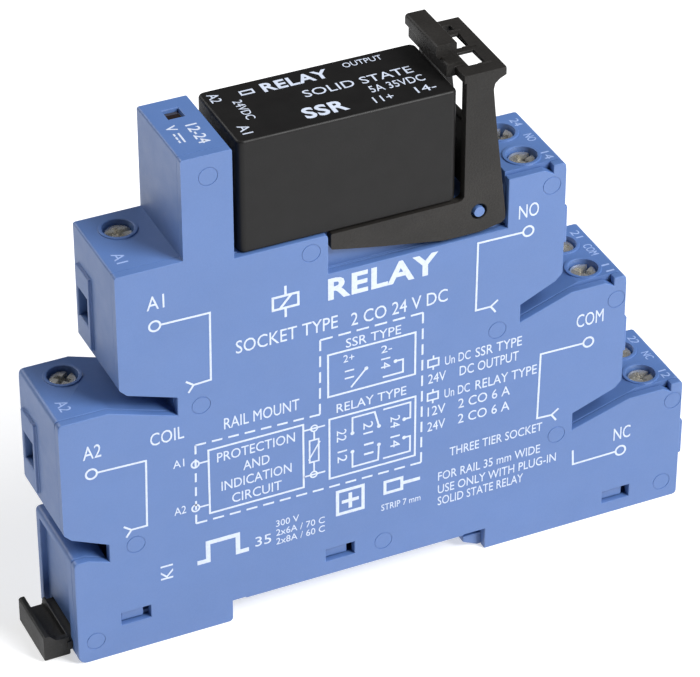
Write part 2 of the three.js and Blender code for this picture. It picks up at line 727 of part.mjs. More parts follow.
function railClip() {
  const headRight = clipHeadX + clipHeadLength;
  const noseX = -recessHalf + clipNoseReach;
  const low = fitGap * 2;
  const halfHead = clipHeadWidth / 2;
  const halfBar = clipBarWidth / 2;
  const halfKeel = clipKeelWidth / 2;
  const headProfile = [
    [clipHeadX, low],
    [headRight, low],
    [headRight, clipHeadHeight - clipLipHeight],
    [clipHeadX + 1.7, clipHeadHeight - clipLipHeight, 0.8],
    [clipHeadX + 0.8, clipHeadHeight, 0.3],
    [clipHeadX, clipHeadHeight, 0.25],
  ];
  const head = sidePlate(headProfile, -halfHead, halfHead, 2);
  const bar = box(headRight - 0.5, noseX - 1.6, -halfBar, halfBar, clipKeelTop, clipBarTop);
  const keel = box(headRight - 0.5, noseX - 1.6, -halfKeel, halfKeel, low, clipKeelTop + 0.2);
  const noseProfile = [
    [noseX - 1.8, low],
    [noseX - 1.0, low],
    [noseX, low + 0.9],
    [noseX, noseTopZ],
    [noseX - 1.8, noseTopZ],
  ];
  const nose = sidePlate(noseProfile, -halfKeel, halfKeel);
  const pocket = box(clipHeadX + 0.8, headRight - 0.4, -halfHead + 0.8, halfHead + 1,
    clipPocketFloor, clipHeadHeight + 1);
  const driverHole = box(clipHeadX + 1.4, clipHeadX + 2.6, -halfHead + 1, -halfHead + 2.1, -1, 5);
  const springWindow = box(headRight + 4, headRight + 14, -2.2, 2.2, -1, 4);
  const springTongue = box(headRight + 5.5, headRight + 14.5, -0.7, 0.7, clipKeelTop - 0.4, clipBarTop);
  return join(cut(join(head, bar, keel, nose), pocket, driverHole, springWindow), springTongue);
}

// ---------------------------------------------------------------- retaining lever
const catchZ = relayTopZ + catchGap;
const capBottomZ = catchZ + capAboveCatch;
const capTopZ = capBottomZ + capThickness;
const capLeftX = postX - capFrontOverhang;

function leverSide(y0, y1) {
  const bottomZ = pivotZ - heelDrop;
  const armTopZ = deckZ - fitGap;
  const tipBottomZ = armTopZ - armTipHeight;
  const profile = [
    [postX, capBottomZ + 0.5],
    [postX, armTopZ, 0.8],
    [armTipX, armTopZ, 0.2],
    [armTipX, tipBottomZ, 0.2],
    [armTipX + 2.5, tipBottomZ - 0.6],
    [pivotX - 13.1, bottomZ + 1.5],
    [pivotX - 4.6, bottomZ, 6],
    [pivotX + 0.4, bottomZ],
    [heelX, bottomZ + 0.7, 0.9],
    [heelX - 0.1, pivotZ - 0.8],
    [heelX - 0.5, pivotZ + 2.6],
    [postX + 4.3, deckZ + 9.8],
    [postX + postTopLength, capBottomZ - gussetRadius],
    [postX + postTopLength + 0.2, capBottomZ - gussetRadius / 2],
    [postX + postTopLength + 0.7, capBottomZ - gussetRadius / 5],
    [capLeftX + capLength - 0.2, capBottomZ],
    [capLeftX + capLength - 0.2, capBottomZ + 0.5],
  ];
  const hole = rodY(pivotX, pivotZ, pivotHoleRadius, y0 - 1, y1 + 1);
  return cut(sidePlate(profile, y0, y1), hole);
}

function relayLever() {
  const capRightX = capLeftX + capLength;
  const catchX = relayRightX - catchOverlap;
  const fingerTopZ = catchZ + fingerHeight;
  const fingerNearY = -leverOuterY + fingerOffset;
  const fingerRightX = catchX + fingerLength;
  const cap = box(capLeftX, capRightX, -leverOuterY, leverOuterY, capBottomZ, capTopZ);
  const finger = sidePlate([
    [catchX, catchZ],
    [catchX, fingerTopZ - fingerLip, 0.3],
    [catchX - fingerLean, fingerTopZ - fingerLip + fingerLean, 0.3],
    [catchX - fingerLean, fingerTopZ, 0.4],
    [fingerRightX, fingerTopZ, 0.2],
    [fingerRightX, catchZ],
  ], fingerNearY, leverOuterY);
  const shoulderTopZ = capTopZ + shoulderRise;
  const shoulder = sidePlate([
    [catchX, catchZ],
    [catchX, shoulderTopZ, 0.4],
    [fingerRightX, shoulderTopZ, 0.4],
    [fingerRightX, catchZ],
  ], fingerNearY - shoulderWidth, fingerNearY + 0.5);
  const webX = postX + webBack;
  const webReachY = leverInnerY + fitGap;
  const web = box(webX, webX + webThickness, -webReachY, webReachY, deckZ + 5 * fitGap, deckZ + webRise);
  const windowX = capLeftX + capWindowInset;
  const windowEndX = windowX + capWindowLength;
  const windowStarts = [0, 1, 2].map((k) => -leverOuterY + capWindowStart + k * windowPitch);
  const windows = windowStarts.map((y) => (
    box(windowX, windowEndX, y, Math.min(y + capWindowWidth, leverInnerY - fitGap),
      capBottomZ - 1, capTopZ + 1)
  ));
  const underside = box(windowX - capWindowRim, windowEndX + capWindowRim,
    -leverInnerY + fitGap, leverInnerY - fitGap, capBottomZ - 1, capTopZ - capPlate);
  const marks = windowStarts.map((y) => (
    box(windowX + capWindowLength / 2, windowEndX + 0.7, y - fitGap - markWidth, y - fitGap,
      capTopZ - 0.2, capTopZ + markRise)
  ));
  const frame = join(
    leverSide(-leverOuterY, -leverInnerY),
    leverSide(leverInnerY, leverOuterY),
    cap,
    finger,
    shoulder,
    web,
  );
  return join(cut(frame, ...windows, underside), ...marks);
}

// ---------------------------------------------------------------- plug-in relay
function roundedRectangle(x0, x1, y0, y1, radius) {
  return [
    [x0, y0, radius],
    [x1, y0, radius],
    [x1, y1, radius],
    [x0, y1, radius],
  ];
}

function relayCase() {
  const half = relayWidth / 2;
  const corners = roundedRectangle(relayLeftX, relayRightX, -half, half, relayCorner);
  const shape = new THREE.Shape(roundedPoints(corners));
  const outer = solid(new THREE.ExtrudeGeometry(shape, {
    depth: relayHeight,
    bevelThickness: relayTopBevel,
    bevelSize: relayTopBevel,
    bevelOffset: -relayTopBevel,
    bevelSegments: 2,
  }).translate(0, 0, relayZ - relayTopBevel));
  const under = box(relayLeftX - 1, relayRightX + 1, -half - 1, half + 1, relayZ - 2, relayZ);
  const hollow = box(relayLeftX + relayWall, relayRightX - relayWall, -half + relayWall, half - relayWall,
    relayZ - 1, relayTopZ - relayWall);
  return cut(outer, under, hollow);
}

const relayPins = [
  { label: "A1", x: coilPinX, y: -stripY },
  { label: "A2", x: coilPinX, y: stripY },
  { label: "11", x: contactX.COM, y: -stripY },
  { label: "14", x: contactX.NO, y: -stripY },
];

function relayBase() {
  const inset = relayWall + fitGap;
  const half = relayWidth / 2 - inset;
  const plate = box(relayLeftX + inset, relayRightX - inset, -half, half, relayZ, relayZ + relayBaseThickness);
  const holes = relayPins.map(({ x, y }) => {
    const reachX = pinWidth / 2 + fitGap;
    const reachY = pinThickness / 2 + fitGap;
    return box(x - reachX, x + reachX, y - reachY, y + reachY, relayZ - 1, relayZ + relayBaseThickness + 1);
  });
  return cut(plate, ...holes);
}

function relayPin({ x, y }) {
  const half = pinThickness / 2;
  const tip = 0.3;
  const topZ = relayZ + relayBaseThickness + 1.5;
  const profile = [
    [x - pinWidth / 2, topZ],
    [x - pinWidth / 2, relayZ - pinLength + tip],
    [x - pinWidth / 2 + tip, relayZ - pinLength],
    [x + pinWidth / 2 - tip, relayZ - pinLength],
    [x + pinWidth / 2, relayZ - pinLength + tip],
    [x + pinWidth / 2, topZ],
  ];
  return sidePlate(profile, y - half, y + half);
}

const relayBoardZ = relayZ + relayBaseThickness + fitGap;
const chipZ = relayBoardZ + 4;

function relayBoard() {
  return box(relayLeftX + 2, relayRightX - 2, -0.5, 0.5, relayBoardZ, relayTopZ - relayWall - 1);
}

function optocoupler() {
  return box(relayLeftX + 6, relayLeftX + 10.5, -0.5 - fitGap - 2.6, -0.5 - fitGap, chipZ, chipZ + 6.4);
}

function outputTransistor() {
  return box(relayLeftX + 17, relayLeftX + 23.5, -0.5 - fitGap - 2.3, -0.5 - fitGap, chipZ, chipZ + 6.1);
}

// ---------------------------------------------------------------- assembly
place("housing_body", housingBody(), socketBlue());
place("side_cover", sideCover(), socketBlue());
place("rail_clip", railClip(), clipBlack());
place("retaining_lever", relayLever(), leverBlack());

terminals.forEach((terminal) => {
  place(`terminal_screw_${terminal.label}`, terminalScrew(terminal), platedSteel());
  place(`clamp_cage_${terminal.label}`, clampCage(terminal), platedSteel());
  const strip = terminal.side > 0 ? contactStrip(terminal) : coilStrip(terminal);
  place(`contact_strip_${terminal.label}`, strip, tinnedBrass());
});
place("coil_contact_A1", coilContact(-1), tinnedBrass());
place("coil_contact_A2", coilContact(1), tinnedBrass());

place("circuit_board", circuitBoard(), boardGreen());
place("indicator_led", indicatorLed(), ledRed());
place("indicator_lens", indicatorLens(), lensTint());
place("board_resistor", boardResistor(), resistorBeige());
place("board_diode", boardDiode(), chipBlack());
place("board_varistor", boardVaristor(), varistorBlue());

place("relay_case", relayCase(), relayBlack());
place("relay_base", relayBase(), relayBlack());
relayPins.forEach((pin) => place(`relay_pin_${pin.label}`, relayPin(pin), tinnedBrass()));
place("relay_board", relayBoard(), boardGreen());
place("relay_optocoupler", optocoupler(), chipBlack());
place("relay_output_transistor", outputTransistor(), chipBlack());

const part = new THREE.Group();
part.add(model);

export default part;
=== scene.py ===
"""Slim rail-mounted relay socket with a plugged-in relay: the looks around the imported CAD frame.
Metres. +X across the rail towards the contact terminals, +Y along the rail, +Z away from it."""
import json
import math

import bmesh
import bpy
from mathutils import Matrix, Vector
from mathutils.bvhtree import BVHTree


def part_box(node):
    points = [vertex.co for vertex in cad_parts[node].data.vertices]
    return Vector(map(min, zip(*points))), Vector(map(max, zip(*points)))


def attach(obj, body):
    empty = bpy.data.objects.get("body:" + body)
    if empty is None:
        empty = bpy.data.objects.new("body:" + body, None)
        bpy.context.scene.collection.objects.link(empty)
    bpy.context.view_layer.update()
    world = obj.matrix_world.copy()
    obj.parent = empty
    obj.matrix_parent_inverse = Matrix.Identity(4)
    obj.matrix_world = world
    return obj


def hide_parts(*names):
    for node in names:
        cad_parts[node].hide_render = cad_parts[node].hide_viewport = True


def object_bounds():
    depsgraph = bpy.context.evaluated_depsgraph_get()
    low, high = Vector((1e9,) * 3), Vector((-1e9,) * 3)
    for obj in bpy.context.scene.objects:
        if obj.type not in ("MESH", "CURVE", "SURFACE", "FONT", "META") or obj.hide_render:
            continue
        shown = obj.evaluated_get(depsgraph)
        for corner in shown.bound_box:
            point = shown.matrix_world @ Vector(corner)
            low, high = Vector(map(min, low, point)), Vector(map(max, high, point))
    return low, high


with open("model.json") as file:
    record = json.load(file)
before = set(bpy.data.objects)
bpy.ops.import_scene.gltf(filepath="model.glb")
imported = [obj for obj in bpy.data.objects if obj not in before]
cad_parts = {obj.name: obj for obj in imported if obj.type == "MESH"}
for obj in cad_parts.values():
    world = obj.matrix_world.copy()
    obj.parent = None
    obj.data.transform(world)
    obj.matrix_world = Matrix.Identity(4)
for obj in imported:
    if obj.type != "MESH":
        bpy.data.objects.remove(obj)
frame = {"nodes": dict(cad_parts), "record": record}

MM = 0.001
NODES = frame["nodes"]
BODIES = frame["record"]["behaviour"]["bodies"]
CAD_BOX = [list(corner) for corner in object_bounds()]
TERMINALS = ("12", "22", "11", "21", "14", "24", "A2", "A1")


# ------------------------------------------------------------------ materials
def srgb(r, g, b):
    """A display colour, 0 to 255, as linear RGBA."""
    def linear(v):
        v = v / 255
        return v / 12.92 if v <= 0.04045 else ((v + 0.055) / 1.055) ** 2.4
    return (linear(r), linear(g), linear(b), 1.0)


def shade(colour, factor):
    return tuple(min(1.0, c * factor) for c in colour[:3]) + (1.0,)


class Shader:
    """A node tree around one Principled BSDF, in object coordinates (metres)."""

    def __init__(self, name):
        self.material = bpy.data.materials.new(name)
        self.material.use_nodes = True
        self.tree = self.material.node_tree
        self.tree.nodes.clear()
        self.out = self.add("ShaderNodeOutputMaterial")
        self.bsdf = self.add("ShaderNodeBsdfPrincipled")
        self.link(self.bsdf.outputs[0], self.out.inputs[0])
        self.place = self.add("ShaderNodeTexCoord").outputs["Object"]
        self.height = None

    def add(self, kind, **settings):
        node = self.tree.nodes.new(kind)
        for key, value in settings.items():
            setattr(node, key, value)
        return node

    def link(self, a, b):
        self.tree.links.new(a, b)

    def put(self, **values):
        """Constants on the Principled BSDF's own sockets."""
        for key, value in values.items():
            self.bsdf.inputs[key.replace("_", " ")].default_value = value

    def noise(self, scale, detail=2.0, rough=0.5, stretch=(1, 1, 1)):
        place = self.place
        if stretch != (1, 1, 1):
            mapping = self.add("ShaderNodeMapping")
            mapping.inputs["Scale"].default_value = stretch
            self.link(place, mapping.inputs[0])
            place = mapping.outputs[0]
        node = self.add("ShaderNodeTexNoise")
        node.inputs["Scale"].default_value = scale
        node.inputs["Detail"].default_value = detail
        node.inputs["Roughness"].default_value = rough
        self.link(place, node.inputs["Vector"])
        return node.outputs["Fac"]

    def cells(self, scale):
        node = self.add("ShaderNodeTexVoronoi", feature="F1")
        node.inputs["Scale"].default_value = scale
        self.link(self.place, node.inputs["Vector"])
        return node.outputs["Distance"]

    def ramp(self, fac, stops):
        node = self.add("ShaderNodeValToRGB")
        ramp = node.color_ramp
        while len(ramp.elements) < len(stops):
            ramp.elements.new(0.5)
        for element, (at, colour) in zip(ramp.elements, stops):
            element.position = at
            element.color = colour
        self.link(fac, node.inputs[0])
        return node.outputs[0]

    def spread(self, fac, low, high, at=(0.3, 0.7)):
        node = self.add("ShaderNodeMapRange")
        for socket, value in zip(("From Min", "From Max", "To Min", "To Max"), (*at, low, high)):
            node.inputs[socket].default_value = value
        self.link(fac, node.inputs["Value"])
        return node.outputs[0]

    def maths(self, operation, a, b):
        node = self.add("ShaderNodeMath", operation=operation)
        for socket, value in zip(node.inputs, (a, b)):
            if isinstance(value, (int, float)):
                socket.default_value = value
            else:
                self.link(value, socket)
        return node.outputs[0]

    def mix(self, fac, a, b, blend="MIX"):
        node = self.add("ShaderNodeMix", data_type="RGBA", blend_type=blend)
        for socket, value in ((node.inputs[0], fac), (node.inputs[6], a), (node.inputs[7], b)):
            if isinstance(value, (int, float, tuple)):
                socket.default_value = value
            else:
                self.link(value, socket)
        return node.outputs[2]

    def bump(self, height, distance, strength=1.0):
        """Adds a height field, in metres, on top of those already there."""
        node = self.add("ShaderNodeBump")
        node.inputs["Strength"].default_value = strength
        node.inputs["Distance"].default_value = distance
        self.link(height, node.inputs["Height"])
        if self.height is not None:
            self.link(self.height, node.inputs["Normal"])
        self.height = node.outputs[0]
        self.link(self.height, self.bsdf.inputs["Normal"])

    def edge_highlight_mask(self, radius):
        """0 on flat ground, up to 1 on edges sharper than the radius."""
        rounded = self.add("ShaderNodeBevel", samples=4)
        rounded.inputs["Radius"].default_value = radius
        plain = self.add("ShaderNodeNewGeometry")
        dot = self.add("ShaderNodeVectorMath", operation="DOT_PRODUCT")
        self.link(rounded.outputs[0], dot.inputs[0])
        self.link(plain.outputs["Normal"], dot.inputs[1])
        return self.spread(dot.outputs["Value"], 1.0, 0.0, at=(0.90, 0.995))


def moulded(name, colour, roughness, grain, grain_depth, mottle, specular=0.5, wave=0.000008,
            edge=1.25, dust=0.0, coat=0.0):
    """Injection-moulded plastic: faint flow mottling, a fine grain and a painted highlight that lightens the
    colour along sharp edges.
    """
    s = Shader(name)
    flow = s.noise(60, 4, 0.6, (1, 1, 1.8))
    fine = s.noise(grain, 3, 0.6)
    low, high = shade(colour, 1 - mottle), shade(colour, 1 + mottle)
    base = s.ramp(flow, [(0.3, low), (0.7, high)])
    speck = s.spread(fine, 1 - mottle * 0.8, 1 + mottle * 0.8)
    tint = s.add("ShaderNodeCombineColor")
    for socket in tint.inputs[:3]:
        s.link(speck, socket)
    base = s.mix(1.0, base, tint.outputs[0], "MULTIPLY")
    # Painted highlight: the colour is lightened by the factor edge along sharp edges, standing in for light
    # caught by the rounded edges.
    edges = s.maths("MULTIPLY", s.edge_highlight_mask(0.00018), s.spread(s.noise(900, 3), 0.25, 0.9))
    base = s.mix(s.maths("MULTIPLY", edges, 0.55), base, shade(colour, edge))
    if dust:
        specks = s.spread(s.cells(1500), dust, 0.0, at=(0.02, 0.10))
        base = s.mix(specks, base, srgb(190, 190, 188))
    s.link(base, s.bsdf.inputs["Base Color"])
    s.link(s.spread(s.noise(350, 4, 0.65), roughness - 0.05, roughness + 0.06), s.bsdf.inputs["Roughness"])
    s.put(Specular_IOR_Level=specular, Coat_Weight=coat, Coat_Roughness=0.5)
    s.bump(s.noise(45, 1), wave, 0.6)
    s.bump(fine, grain_depth)
    return s.material


def plated(name, colour, dark, roughness, brush=(1, 1, 1), scale=700, depth=0.000012, metallic=1.0):
    """Zinc or tin on stamped steel or brass: cloudy colour, fine drawn lines, darker pits."""
    s = Shader(name)
    cloud = s.noise(scale * 0.4, 4, 0.6)
    drawn = s.noise(scale * 2.2, 3, 0.6, brush)
    base = s.ramp(cloud, [(0.25, dark), (0.5, colour), (0.8, shade(colour, 1.12))])
    pits = s.spread(s.cells(scale * 1.6), 0.55, 0.0, at=(0.03, 0.16))
    base = s.mix(pits, base, shade(dark, 0.5))
    s.link(base, s.bsdf.inputs["Base Color"])
    s.link(s.spread(drawn, roughness - 0.07, roughness + 0.12), s.bsdf.inputs["Roughness"])
    s.put(Metallic=metallic)
    s.bump(drawn, depth)
    return s.material


def solder_resist():
    s = Shader("circuit_board_green")
    weave = s.noise(2600, 2, 0.5, (1, 1, 0.2))
    copper = s.spread(s.cells(420), 1.0, 0.0, at=(0.28, 0.34))
    base = s.mix(copper, srgb(18, 78, 44), srgb(40, 118, 70))
    base = s.mix(s.spread(weave, 0.0, 0.25), base, srgb(10, 48, 28))
    s.link(base, s.bsdf.inputs["Base Color"])
    s.link(s.spread(weave, 0.25, 0.38), s.bsdf.inputs["Roughness"])
    s.bump(copper, 0.00003)
    return s.material


def tinted_lens(name, colour, glow, strength):
    s = Shader(name)
    inner = s.noise(900, 2)
    base = s.ramp(inner, [(0.3, shade(colour, 0.7)), (0.7, colour)])
    s.link(base, s.bsdf.inputs["Base Color"])
    s.link(s.spread(s.noise(2000, 2), 0.08, 0.16), s.bsdf.inputs["Roughness"])
    s.put(Coat_Weight=0.6, Coat_Roughness=0.08, Emission_Color=glow, Emission_Strength=strength)
    s.bump(inner, 0.00001)
    return s.material


def banded_resistor():
    """Beige lacquer with colour rings along the part's length."""
    s = Shader("resistor_bands")
    low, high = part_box("board_resistor")
    axis = max(range(3), key=lambda k: high[k] - low[k])
    parts = s.add("ShaderNodeSeparateXYZ")
    s.link(s.place, parts.inputs[0])
    along = s.spread(parts.outputs[axis], 0.0, 1.0, at=(low[axis], high[axis]))
    beige = srgb(205, 176, 128)
    stops = [(0.0, beige)]
    rings = ((0.2, (120, 60, 20)), (0.38, (20, 20, 20)), (0.56, (190, 40, 25)), (0.8, (170, 130, 50)))
    for at, ring in rings:
        stops += [(at, srgb(*ring)), (at + 0.08, beige)]
    banded = s.ramp(along, stops)
    s.tree.nodes[-1].color_ramp.interpolation = "CONSTANT"
    mottled = s.mix(s.spread(s.noise(1500, 3), 0.0, 0.25), banded, shade(beige, 0.7))
    s.link(mottled, s.bsdf.inputs["Base Color"])
    s.link(s.spread(s.noise(800, 2), 0.3, 0.45), s.bsdf.inputs["Roughness"])
    s.bump(s.noise(1200, 2), 0.00002)
    return s.material


def ink(name, colour, gloss):
    """Pad-printed ink: nearly opaque, a little uneven."""
    s = Shader(name)
    uneven = s.noise(2400, 4, 0.7)
    base = s.ramp(uneven, [(0.2, shade(colour, 0.80)), (0.55, colour), (0.9, shade(colour, 1.03))])
    s.link(base, s.bsdf.inputs["Base Color"])
    s.link(s.spread(uneven, gloss - 0.06, gloss + 0.1), s.bsdf.inputs["Roughness"])
    s.bump(uneven, 0.000004)
    return s.material


# edge sets how far the painted edge highlight lightens each plastic's colour.
BLUE = moulded("housing_blue", srgb(72, 105, 161), 0.52, 5200, 0.000010, 0.035, 0.9, edge=1.5, coat=0.22)
RELAY = moulded("relay_black", srgb(15, 14, 14), 0.47, 6500, 0.000009, 0.10, 0.30, edge=4.0)
LEVER = moulded("lever_black", srgb(29, 27, 25), 0.55, 3600, 0.000040, 0.35, 0.36, edge=1.8)
CLIP = moulded("clip_black", srgb(22, 21, 20), 0.50, 3200, 0.000040, 0.30, 0.36, edge=2.4, dust=0.25)
SCREW = plated("screw_zinc", srgb(232, 230, 224), srgb(176, 173, 165), 0.25, metallic=0.88)
CAGE = plated("cage_zinc", srgb(178, 176, 168), srgb(120, 117, 108), 0.36, (1, 1, 6))
BRASS = plated("contact_brass", srgb(206, 178, 112), srgb(150, 122, 66), 0.32, (1, 1, 5))
TIN = plated("pin_tin", srgb(200, 199, 194), srgb(150, 149, 145), 0.33, (1, 1, 8))
BOARD = solder_resist()
LED = tinted_lens("led_red", srgb(110, 22, 15), srgb(120, 10, 4), 0.02)
LENS = tinted_lens("lens_dark", srgb(26, 12, 12), srgb(0, 0, 0), 0.0)
CHIP = moulded("chip_epoxy", srgb(34, 34, 36), 0.5, 4200, 0.000012, 0.12)
VARISTOR = moulded("varistor_blue", srgb(38, 70, 140), 0.35, 1800, 0.000030, 0.10, 0.6)
RESISTOR = banded_resistor()
INK = ink("print_white", srgb(198, 207, 224), 0.5)
FAINT_INK = ink("print_thin", srgb(146, 168, 212), 0.5)

FINISH = {"circuit_board": BOARD, "relay_board": BOARD, "indicator_led": LED, "indicator_lens": LENS,
          "board_resistor": RESISTOR, "board_diode": CHIP, "board_varistor": VARISTOR,
          "relay_optocoupler": CHIP, "relay_output_transistor": CHIP, "relay_base": RELAY,
          "coil_contact_A1": BRASS, "coil_contact_A2": BRASS}
for terminal in TERMINALS:
    FINISH["contact_strip_" + terminal] = BRASS
for name in NODES:
    if name.startswith("relay_pin_"):
        FINISH[name] = TIN
BODY_OF = {node: body for body, nodes in BODIES.items() for node in nodes}


def finish(piece, material):
    piece.data.materials.clear()
    piece.data.materials.append(material)


# ------------------------------------------------------------------ mesh tools
def new_piece(name, bm, material, body):
    mesh = bpy.data.meshes.new(name)
    bm.to_mesh(mesh)
    bm.free()
    piece = bpy.data.objects.new(name, mesh)
    bpy.context.scene.collection.objects.link(piece)
    finish(piece, material)
    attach(piece, body)
    return piece


def settle(piece):
    """Applies the piece's modifiers to its mesh."""
    mesh = bpy.data.meshes.new_from_object(piece.evaluated_get(bpy.context.evaluated_depsgraph_get()))
    piece.modifiers.clear()
    piece.data = mesh


def smooth(piece, angle=32, weighted=True):
    """Smooth shading up to an angle, with the large faces kept flat."""
    bm = bmesh.new()
    bm.from_mesh(piece.data)
    for face in bm.faces:
        face.smooth = True
    for edge in bm.edges:
        edge.smooth = edge.calc_face_angle(math.pi) < math.radians(angle)
    bm.to_mesh(piece.data)
    bm.free()
    if weighted:
        modifier = piece.modifiers.new("normals", "WEIGHTED_NORMAL")
        modifier.keep_sharp = True
        modifier.weight = 80
        settle(piece)


def cad_mesh(node):
    """A CAD node's mesh, welded, with its flat faces whole."""
    bm = bmesh.new()
    bm.from_mesh(NODES[node].data)
    bmesh.ops.remove_doubles(bm, verts=bm.verts, dist=2e-6)
    bmesh.ops.dissolve_limit(bm, angle_limit=math.radians(1), verts=bm.verts, edges=bm.edges)
    bm.normal_update()
    return bm


def whole_shape():
    """All CAD nodes as one tree, to find which edges can be seen from outside."""
    points, faces = [], []
    for node in sorted(NODES):
        start = len(points)
        mesh = NODES[node].data
        points += [v.co.copy() for v in mesh.vertices]
        faces += [[start + k for k in p.vertices] for p in mesh.polygons]
    return BVHTree.FromPolygons(points, faces)


SHAPE = whole_shape()
DIRECTIONS = []
for ring in range(1, 8):
    for step in range(12):
        up, turn = 1 - 2 * ring / 8, 2 * math.pi * (step + ring / 2) / 12
        flat = math.sqrt(1 - up * up)
        DIRECTIONS.append(Vector((flat * math.cos(turn), flat * math.sin(turn), up)))


def seen(edge):
    a, b = (v.co for v in edge.verts)
    out = sum((f.normal for f in edge.link_faces), Vector())
    if out.length < 1e-6:
        return False
    out.normalize()
    for share in (0.5, 0.12, 0.88):
        start = a.lerp(b, share) + out * 3e-5
        for direction in DIRECTIONS:
            if direction.dot(out) > 0.05 and SHAPE.ray_cast(start, direction)[0] is None:
                return True
    return False


def flat_region(face, cache):
    """The faces that lie in one plane with this one and join it."""
    if face.index in cache:
        return cache[face.index]
    region, todo = {face}, [face]
    while todo:
        for edge in todo.pop().edges:
            if edge.calc_face_angle(math.pi) < math.radians(1):
                for other in edge.link_faces:
                    if other not in region:
                        region.add(other)
                        todo.append(other)
    for f in region:
        cache[f.index] = region
    return region


def room(edge, cache):
    """How far the edge may be rounded before it meets another on the same faces."""
    a, b = (v.co for v in edge.verts)
    along = (b - a).normalized()
    length = (b - a).length
    least = 1.0
    for face in edge.link_faces:
        side = face.normal.cross(along)
        for f in flat_region(face, cache):
            for other in f.edges:
                if other is edge or other.calc_face_angle(math.pi) < math.radians(12):
                    continue
                for v in other.verts:
                    gap = v.co - a
                    off, t = abs(gap.dot(side)), gap.dot(along)
                    if off > 4e-6 and -2e-4 < t < length + 2e-4:
                        least = min(least, off)
    return least


def bevelled(source, width, segments):
    """The mesh with its weighted edges rounded, as a new mesh."""
    mesh = bpy.data.meshes.new("rounding")
    source.to_mesh(mesh)
    holder = bpy.data.objects.new("rounding", mesh)
    bpy.context.scene.collection.objects.link(holder)
    bevel = holder.modifiers.new("bevel", "BEVEL")
    bevel.limit_method = "WEIGHT"
    bevel.width = width
    bevel.segments = segments
    bevel.use_clamp_overlap = False
    made = bpy.data.meshes.new_from_object(holder.evaluated_get(bpy.context.evaluated_depsgraph_get()))
    bpy.data.objects.remove(holder)
    bpy.data.meshes.remove(mesh)
    return made


def crossings(points, normal):
    """Points where a flat face's outline crosses itself."""
    across = normal.orthogonal().normalized()
    up = normal.cross(across)
    flat = [(p.dot(across), p.dot(up)) for p in points]
    count = len(flat)
    found = []

    def turn(a, b, c):
        return (b[0] - a[0]) * (c[1] - a[1]) - (b[1] - a[1]) * (c[0] - a[0])

    for i in range(count):
        a, b = flat[i], flat[(i + 1) % count]
        for j in range(i + 2, count):
            if (j + 1) % count == i:
                continue
            c, d = flat[j], flat[(j + 1) % count]
            if turn(a, b, c) * turn(a, b, d) < 0 and turn(c, d, a) * turn(c, d, b) < 0:
                found += [points[i], points[(i + 1) % count], points[j], points[(j + 1) % count]]
    return found


def faults(mesh, tree, width):
    """Points of faces that stray from the sharp shape, turn inside out or cross themselves."""
    mesh.calc_loop_triangles()
    wrong = set()
    strayed = {v.index for v in mesh.vertices if tree.find_nearest(v.co)[3] > width * 0.6}
    for t in mesh.loop_triangles:
        if strayed.intersection(t.vertices):
            wrong.add(t.polygon_index)
        elif t.area > 1e-12:
            middle = sum((mesh.vertices[k].co for k in t.vertices), Vector()) / 3
            _, normal, _, away = tree.find_nearest(middle)
            if away > width * 0.6 or (away < 1e-5 and t.normal.dot(normal) < 0):
                wrong.add(t.polygon_index)
    found = []
    for p in sorted(wrong):
        polygon = mesh.polygons[p]
        points = [mesh.vertices[k].co for k in polygon.vertices]
        found += crossings(points, polygon.normal) or (points if len(points) < 12 else [])
    return found


def rounded(node, name, material, width, concave=0.0, segments=2, sharp=24, seen_only=True,
            tries=8):
    """A copy of a CAD node with its edges rounded, as moulded or stamped parts have them. Where
    rounded edges would run into each other they are made smaller until the faces are sound."""
    bm = cad_mesh(node)
    for sequence in (bm.verts, bm.edges, bm.faces):
        sequence.ensure_lookup_table()
        sequence.index_update()
    weights = bm.edges.layers.float.new("bevel_weight_edge")
    cache = {}
    for edge in bm.edges:
        if len(edge.link_faces) != 2 or edge.calc_face_angle() < math.radians(sharp):
            continue
        want = width if edge.is_convex else concave
        if want <= 0 or (seen_only and not seen(edge)):
            continue
        edge[weights] = max(0.0, min(want, room(edge, cache) * 0.42)) / width
    tree = BVHTree.FromBMesh(bm)
    for attempt in range(tries):
        mesh = bevelled(bm, width, segments)
        wrong = faults(mesh, tree, width)
        if not wrong or attempt == tries - 1:
            break
        bpy.data.meshes.remove(mesh)
        for v in bm.verts:
            if any((v.co - place).length < width * 1.6 for place in wrong):
                for edge in v.link_edges:
                    smaller = edge[weights] * 0.55
                    edge[weights] = smaller if smaller > 0.2 else 0.0
    bm.free()
    piece = bpy.data.objects.new(name, mesh)
    mesh.name = name
    bpy.context.scene.collection.objects.link(piece)
    finish(piece, material)
    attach(piece, BODY_OF[node])
    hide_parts(node)
    return piece


def cut_away(piece, bm):
    """Cuts the closed shapes in bm out of the piece."""
    mesh = bpy.data.meshes.new("cutter")
    bmesh.ops.recalc_face_normals(bm, faces=bm.faces)
    bm.to_mesh(mesh)
    bm.free()
    cutter = bpy.data.objects.new("cutter", mesh)
    bpy.context.scene.collection.objects.link(cutter)
    modifier = piece.modifiers.new("cut", "BOOLEAN")
    modifier.operation = "DIFFERENCE"
    modifier.solver = "EXACT"
    modifier.use_self = True
    modifier.object = cutter
    settle(piece)
    bpy.data.objects.remove(cutter)
    bpy.data.meshes.remove(mesh)


# ------------------------------------------------------------------ printed marks
CAP_HEIGHT = 0.7        # of the built-in font, as a share of its size
STROKE_STEP = 0.0012


